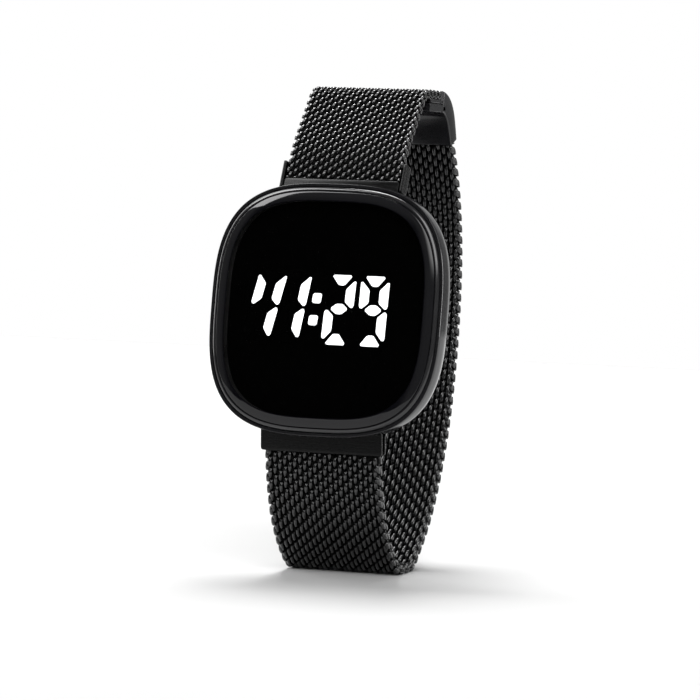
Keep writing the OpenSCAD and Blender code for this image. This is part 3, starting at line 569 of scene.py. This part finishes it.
def weave(name, path, outer, hand, coils, row, slope, long_half, wire, straight, body, nodes,
          span):
    """Rows of wire coils across the strap, each row set half a turn on from the last.

    With b = a + phase, the angle a along a row gives x = -room + pitch / 2 pi (a + straight
    (sin 2b + sin(4b) / 4)), distance s = s0 + slope x + hand long_half cos b and height
    n = high sin b. A row runs on past both sides, with x held at the room's edge, so that the wire
    turns over there and closes the side. The wire is a tube round that line, pressed flat at the
    strap's faces, sides and ends. Its crown is 1 at the faces and at the sides, and 0 inside; the
    finish paints the low places dark and without gloss, as painted shade between the coils.
    """
    # Points to a turn, points round the wire, and points that run on past each side
    to_turn, around, past = 12, 6, 4
    length = path[-1, 0]
    room = MESH_HALF - wire
    pitch = 2 * room / coils
    a = np.arange(-past, round(coils * to_turn) + past + 1) / to_turn * 2 * np.pi
    side = np.arange(around) / around * 2 * np.pi
    index = np.arange(math.floor(span[0] / row), math.ceil(span[1] / row) + 1)
    index = index[(index * row > span[0]) & (index * row <= span[1])]
    phase = np.pi * (index % 2)[:, None]
    angle = a[None, :] + phase
    advance = a[None, :] + straight * (np.sin(2 * angle) + np.sin(4 * angle) / 4)
    x = np.clip(-room + pitch * advance / (2 * np.pi), -room, room)
    s = index[:, None] * row + slope * x + hand * long_half * np.cos(angle)
    n = (MESH_T / 2 - wire + PRESSED) * np.sin(angle)
    line = np.stack([x, s, n], -1)
    ahead = np.gradient(line, axis=1)
    ahead /= np.linalg.norm(ahead, axis=-1, keepdims=True)
    one = np.cross(ahead, [1.0, 0, 0])
    one /= np.linalg.norm(one, axis=-1, keepdims=True)
    two = np.cross(ahead, one)
    ring = line[:, :, None] + wire * (np.cos(side)[:, None] * one[:, :, None]
                                      + np.sin(side)[:, None] * two[:, :, None])
    x, s, n = np.moveaxis(ring, -1, 0)
    x = np.clip(x, -MESH_HALF, MESH_HALF)
    s = np.clip(s, END_CLEAR, length - END_CLEAR)
    n = np.clip(n, -MESH_T / 2, MESH_T / 2)
    y, z = path_place(path, s, outer * n)
    size = len(a) * around
    starts = np.arange(len(index)) * size
    quads = (grid_faces(len(a), around)[None] + starts[:, None, None]).reshape(-1, 4)
    ends = np.concatenate([starts[:, None] + np.arange(around)[::-1],
                           starts[:, None] + size - around + np.arange(around)])
    piece = make_piece(name, np.stack([x, y, z], -1), quads.tolist() + ends.tolist(), body,
                       "mesh_black", nodes, smooth=math.pi)
    # The crown, 1 where the wire stands out; where it is low the finish paints shade
    crown_wear_and_shade = piece.data.attributes.new("crown_wear_and_shade", "FLOAT", "POINT")
    height = np.maximum(2 * np.abs(n) / MESH_T, 1 - (MESH_HALF - np.abs(x)) / (2 * wire))
    crown_wear_and_shade.data.foreach_set("value", np.clip(height, 0, 1).ravel())


def weave_shade_sheet(name, path, body):
    """Painted shade in the weave's middle: a dark sheet the coils stand out of on both faces."""
    points, faces = strip(path, MESH_HALF - SHADE_SHEET_INSET, -SHADE_SHEET_HALF_T, SHADE_SHEET_HALF_T, edge=0.1,
                          count=200)
    shade_sheet = make_piece(name, points, faces, body, "mesh_black")
    shade_sheet.data.materials.clear()
    shade_sheet.data.materials.append(MESH_SHADOW)


# Outer face and hand of the coils, their number, the rows' distance and slant, half the length of
# a coil along the strap, the wire's radius and how straight the wire lies on the faces
LOWER_WEAVE = dict(outer=-1, hand=1, coils=11, row=0.9, slope=0.198, long_half=0.78, wire=0.34,
                   straight=0.8)
UPPER_WEAVE = dict(outer=1, hand=-1, coils=11.5, row=0.68, slope=-0.06, long_half=0.58, wire=0.22,
                   straight=0.3)
# The lower weave is in four parts, so that none has too many triangles for one piece. The rows at
# its two ends start up to this far outside it, because they slant.
PARTS, PART_LENGTH, OUTSIDE = 4, 24.0, 1.0
cuts = [-OUTSIDE, *(PART_LENGTH * k for k in range(1, PARTS)), lower_path[-1, 0] + OUTSIDE]
for number in range(PARTS):
    weave(f"lower_weave_{number + 1}", lower_path, body="lower_strap", nodes=["lower_mesh"],
          span=cuts[number:number + 2], **LOWER_WEAVE)
weave("upper_weave", upper_path, body="upper_strap", nodes=["upper_mesh"],
      span=(-OUTSIDE, upper_path[-1, 0] + OUTSIDE), **UPPER_WEAVE)
# Dark sheets of painted shade inside both weaves, seen through their gaps
weave_shade_sheet("lower_weave_shade_sheet", lower_path, "lower_strap")
weave_shade_sheet("upper_weave_shade_sheet", upper_path, "upper_strap")


# Clamps

def clamp_path(bar, heading, mirror, reach, back_line, back_reach):
    """The middle of the folded sheet: down the front leaf, round the bar, back down the back leaf.

    The loop turns 180 degrees and a fold more, the sheet goes on straight to the line of the back
    leaf, and a bend of the radius ease_r takes the fold back.
    """
    fold, ease_r = 25.0, 1.0
    drop = -LOOP_R * math.cos(math.radians(fold)) + ease_r * (1 - math.cos(math.radians(fold)))
    slant = (back_line - drop) / math.sin(math.radians(fold))
    used = (LOOP_R + ease_r) * math.sin(math.radians(fold)) + slant * math.cos(math.radians(fold))
    turn = 180 + fold
    arcs = [(reach, 0), (LOOP_R * math.radians(turn), mirror * turn), (slant, 0),
            (ease_r * math.radians(fold), -mirror * fold), (back_reach - used, 0)]
    start = bar + reach * along(heading) + mirror * LOOP_R * left_of(heading)
    return arc_path(start, heading + 180, arcs, step=0.08)


lower_clamp = clamp_path(LOWER_BAR, LOWER_HEADING, -1, LOWER_REACH, LOWER_BACK_LINE, LOWER_REACH)
upper_clamp = clamp_path(UPPER_BAR, UPPER_HEADING, 1, FRONT_REACH, UPPER_BACK_LINE, CHEEK_REACH)


def rounded_leaf(half, length):
    """Half width of a leaf with rounded corners, where d is how far s lies into a corner."""
    def at(s):
        """The half width, less CORNER - sqrt(CORNER^2 - d^2)."""
        d = CORNER - min(CORNER, s, length - s)
        return half - (CORNER - math.sqrt(max(0.0, CORNER**2 - d**2)))
    return at


def upper_leaf(s):
    """Half width of the upper sheet: its front leaf stands between the cheeks."""
    narrow = rounded_leaf(MESH_HALF, upper_clamp[-1, 0])(s)
    return narrow if s < FRONT_REACH - 0.1 else CLAMP_HALF


for half_name, path, half in (
        ("lower", lower_clamp, rounded_leaf(CLAMP_HALF, lower_clamp[-1, 0])),
        ("upper", upper_clamp, upper_leaf)):
    points, faces = strip(path, half, -SHEET_T / 2, SHEET_T / 2, edge=SHEET_EDGE, count=160)
    make_piece(half_name + "_clamp_sheet", points, faces, half_name + "_strap", "clamp_black",
               [half_name + "_clamp"])
for number, side in enumerate((-1, 1)):
    cheek = arc_path(UPPER_BAR + CHEEK_START * along(UPPER_HEADING), UPPER_HEADING,
                     [(CHEEK_REACH - CHEEK_START, 0)])
    points, faces = strip(cheek, CHEEK_HALF, CHEEK_LOW, CHEEK_HIGH, edge=0.1, count=12,
                          middle=side * CHEEK_X)
    make_piece(f"upper_cheek_{number + 1}", points, faces, "upper_strap", "clamp_black")


# Clasp

def tongue_path(start, start_heading, end, end_heading, pull, count=80):
    """A cubic curve, (1-t)^3 a + 3 (1-t)^2 t b + 3 (1-t) t^2 c + t^3 d, as a path with each t."""
    t = np.linspace(0, 1, count)[:, None]
    b, c = start + pull * along(start_heading), end - pull * along(end_heading)
    place = (1 - t)**3 * start + 3 * (1 - t)**2 * t * b + 3 * (1 - t) * t**2 * c + t**3 * end
    steps = np.diff(place, axis=0)
    done = np.concatenate([[0], np.cumsum(np.hypot(*steps.T))])
    slope = np.gradient(place, axis=0)
    heading = np.degrees(np.unwrap(np.arctan2(slope[:, 1], slope[:, 0])))
    heading[[0, -1]] = start_heading, end_heading
    return np.column_stack([done, place, heading]), t[:, 0]


end_heading = upper_path[-1, 3]
lip_middle = MESH_T / 2 + KEEPER_T + LAP_GAP + LIP_T / 2
lap_start = (upper_path[-1, 1:3] + (CAP_T + END_GAP) * along(end_heading)
             - lip_middle * left_of(end_heading))
tongue, share = tongue_path(lower_path[-1, 1:3], lower_path[-1, 3], lap_start, end_heading + 180,
                            TONGUE_PULL)
# The tongue's two faces go evenly from the band's to those of the lap
outer_face = -(MESH_T / 2 + TONGUE_PROUD) + share * (
    MESH_T / 2 + TONGUE_PROUD - LIP_T / 2 - LAP_GAP - KEEPER_T - MESH_T)
inner_face = MESH_T / 2 + TONGUE_INSIDE + share * (LIP_T / 2 - MESH_T / 2 - TONGUE_INSIDE)
points, faces = strip(tongue, MESH_HALF, lambda s: float(np.interp(s, tongue[:, 0], outer_face)),
                      lambda s: float(np.interp(s, tongue[:, 0], inner_face)), edge=0.2, count=60)
make_piece("clasp_tongue_plate", points, faces, "lower_strap", "clasp_black", ["clasp_tongue"])
softened("keeper_plate", 0.1, "clasp_black", "upper_strap")
softened("clasp_lip", 0.15, "clasp_black", "lower_strap")


# Camera, floor and light

# In millimetres, but for the image's width in pixels and the far limit of sight in metres
AZIMUTH, ELEVATION, ROLL = np.radians([25.2, 5.24, -0.2])
DISTANCE, PIXELS_PER_MM, IMAGE_WIDTH, SENSOR, CLIP_END = 824.0, 6.56, 700, 36.0, 100
AIM_RIGHT, AIM_DOWN = 4.15, 6.17
ahead = np.array([-math.sin(AZIMUTH) * math.cos(ELEVATION),
                  math.cos(AZIMUTH) * math.cos(ELEVATION), -math.sin(ELEVATION)])
level = np.array([math.cos(AZIMUTH), math.sin(AZIMUTH), 0])
upward = np.cross(level, ahead)
face_centre = np.array([0, *FACE])
eye = face_centre - ahead * DISTANCE
aim = face_centre + AIM_RIGHT * level - AIM_DOWN * upward
ahead = (aim - eye) / np.linalg.norm(aim - eye)
right = level * math.cos(ROLL) - upward * math.sin(ROLL)
right -= right.dot(ahead) * ahead
right /= np.linalg.norm(right)
up = np.cross(right, ahead)

camera_data = bpy.data.cameras.new("camera")
camera_data.sensor_width = SENSOR
camera_data.lens = DISTANCE * PIXELS_PER_MM / IMAGE_WIDTH * SENSOR
camera_data.clip_end = CLIP_END
camera = add("camera", camera_data)
camera.matrix_world = Matrix([[*row, place * MM] for row, place in
                              zip(np.column_stack([right, up, -ahead]), eye)] + [[0, 0, 0, 1]])
bpy.context.scene.camera = camera

# The floor's half width and its front and back edges in metres, and its tone
FLOOR_SIDE, FLOOR_FRONT, FLOOR_BACK = 0.6, -0.19, 0.3
FLOOR_TONE = 0.46
floor_mesh = bpy.data.meshes.new("floor")
floor_mesh.from_pydata([(-FLOOR_SIDE, FLOOR_FRONT, 0.0), (FLOOR_SIDE, FLOOR_FRONT, 0.0),
                        (FLOOR_SIDE, FLOOR_BACK, 0.0), (-FLOOR_SIDE, FLOOR_BACK, 0.0)],
                       [], [(0, 1, 2, 3)])
floor_mesh.materials.append(finish("floor_white", (FLOOR_TONE,) * 3, 1.0, specular=0.0, size=40,
                                   tone=0.005, gloss=0.0, relief=0.0))
add("floor", floor_mesh)


def light_room(base, panels):
    """An even room with panels painted over it, each lighter or darker than what it covers.

    A panel is its azimuth, half width, lower and upper elevation and soft margin in degrees, and
    its tone. Its share is a smooth step of the cosine of the azimuth to its middle, times smooth
    steps of the sine of the elevation. The camera sees plain white.
    """
    world = bpy.data.worlds.new("studio")
    world.use_nodes = True
    nodes, links = world.node_tree.nodes, world.node_tree.links

    def math_node(kind, operation, *values):
        """The result of a math node whose inputs are these numbers or other nodes' results."""
        node = nodes.new(kind)
        node.operation = operation
        for socket, value in zip(node.inputs, values):
            if isinstance(value, bpy.types.NodeSocket):
                links.new(value, socket)
            else:
                socket.default_value = value
        return next(output for output in node.outputs if output.enabled)

    def smooth_step(value, low, high):
        """3 t^2 - 2 t^3 for the value's share t of the way from low to high."""
        node = nodes.new("ShaderNodeMapRange")
        node.interpolation_type = "SMOOTHSTEP"
        node.inputs["From Min"].default_value = low
        node.inputs["From Max"].default_value = high
        links.new(value, node.inputs["Value"])
        return node.outputs["Result"]

    place = nodes.new("ShaderNodeTexCoord").outputs["Generated"]
    level_part = math_node("ShaderNodeVectorMath", "MULTIPLY", place, (1.0, 1.0, 0.0))
    heading = math_node("ShaderNodeVectorMath", "NORMALIZE", level_part)
    split = nodes.new("ShaderNodeSeparateXYZ")
    links.new(place, split.inputs[0])
    tone_of = None
    for azimuth, half, low, high, soft, tone in panels:
        a = math.radians(azimuth)
        cosine = math_node("ShaderNodeVectorMath", "DOT_PRODUCT", heading,
                           (math.sin(a), -math.cos(a), 0.0))
        across_it = smooth_step(cosine, math.cos(math.radians(min(180, half + soft))),
                                math.cos(math.radians(half)))
        above = smooth_step(split.outputs["Z"], math.sin(math.radians(low - soft)),
                            math.sin(math.radians(low)))
        below = smooth_step(split.outputs["Z"], math.sin(math.radians(high + soft)),
                            math.sin(math.radians(high)))
        share = math_node("ShaderNodeMath", "MULTIPLY", across_it,
                          math_node("ShaderNodeMath", "MULTIPLY", above, below))
        node = nodes.new("ShaderNodeMix")
        links.new(share, node.inputs["Factor"])
        node.inputs["B"].default_value = tone
        if tone_of is None:
            node.inputs["A"].default_value = base
        else:
            links.new(tone_of, node.inputs["A"])
        tone_of = node.outputs["Result"]
    room = nodes["Background"]
    links.new(tone_of, room.inputs["Color"])
    backdrop = nodes.new("ShaderNodeBackground")
    backdrop.inputs["Color"].default_value = (1, 1, 1, 1)
    rays, mix = nodes.new("ShaderNodeLightPath"), nodes.new("ShaderNodeMixShader")
    links.new(rays.outputs["Is Camera Ray"], mix.inputs["Fac"])
    links.new(room.outputs["Background"], mix.inputs[1])
    links.new(backdrop.outputs["Background"], mix.inputs[2])
    links.new(mix.outputs["Shader"], nodes["World Output"].inputs["Surface"])
    bpy.context.scene.world = world


# The middle of the watch in metres, which the soft boxes face
LIT_MIDDLE = Vector((0, 0, 0.04))


def soft_box(name, azimuth, elevation, distance, size, radiance):
    """A square soft box that faces the watch; its power is radiance times pi times its area.

    It stands at distance (sin a cos e, -cos a cos e, sin e) from the middle of the watch.
    """
    a, e = math.radians(azimuth), math.radians(elevation)
    place = LIT_MIDDLE + distance * Vector((math.sin(a) * math.cos(e),
                                            -math.cos(a) * math.cos(e), math.sin(e)))
    data = bpy.data.lights.new(name, "AREA")
    data.shape, data.size, data.energy = "SQUARE", size, radiance * math.pi * size**2
    light = add(name, data)
    light.location = place
    light.rotation_euler = (LIT_MIDDLE - place).to_track_quat("-Z", "Y").to_euler()
    return light


light_room(0.28, [
    (0, 180, 68, 90, 14, 2.6),
    (192, 17, -5, 30, 8, 0.6),
    (38, 24, 24, 56, 8, 5.0),
    (127, 5, -4, 14, 3, 9.0),
    (-100, 6, -8, 55, 4, 6.0),
    (-26, 17, -40, 28, 12, 0.0),
])
soft_box("top_box", 207, 67, 0.9, 0.42, 26.0)
# This one shows in glints alone, and lights no matt surface
spark_box = soft_box("spark_box", -62, 48, 0.9, 0.45, 10.0)
spark_box.visible_diffuse = False
bpy.context.scene.view_settings.view_transform = "Standard"
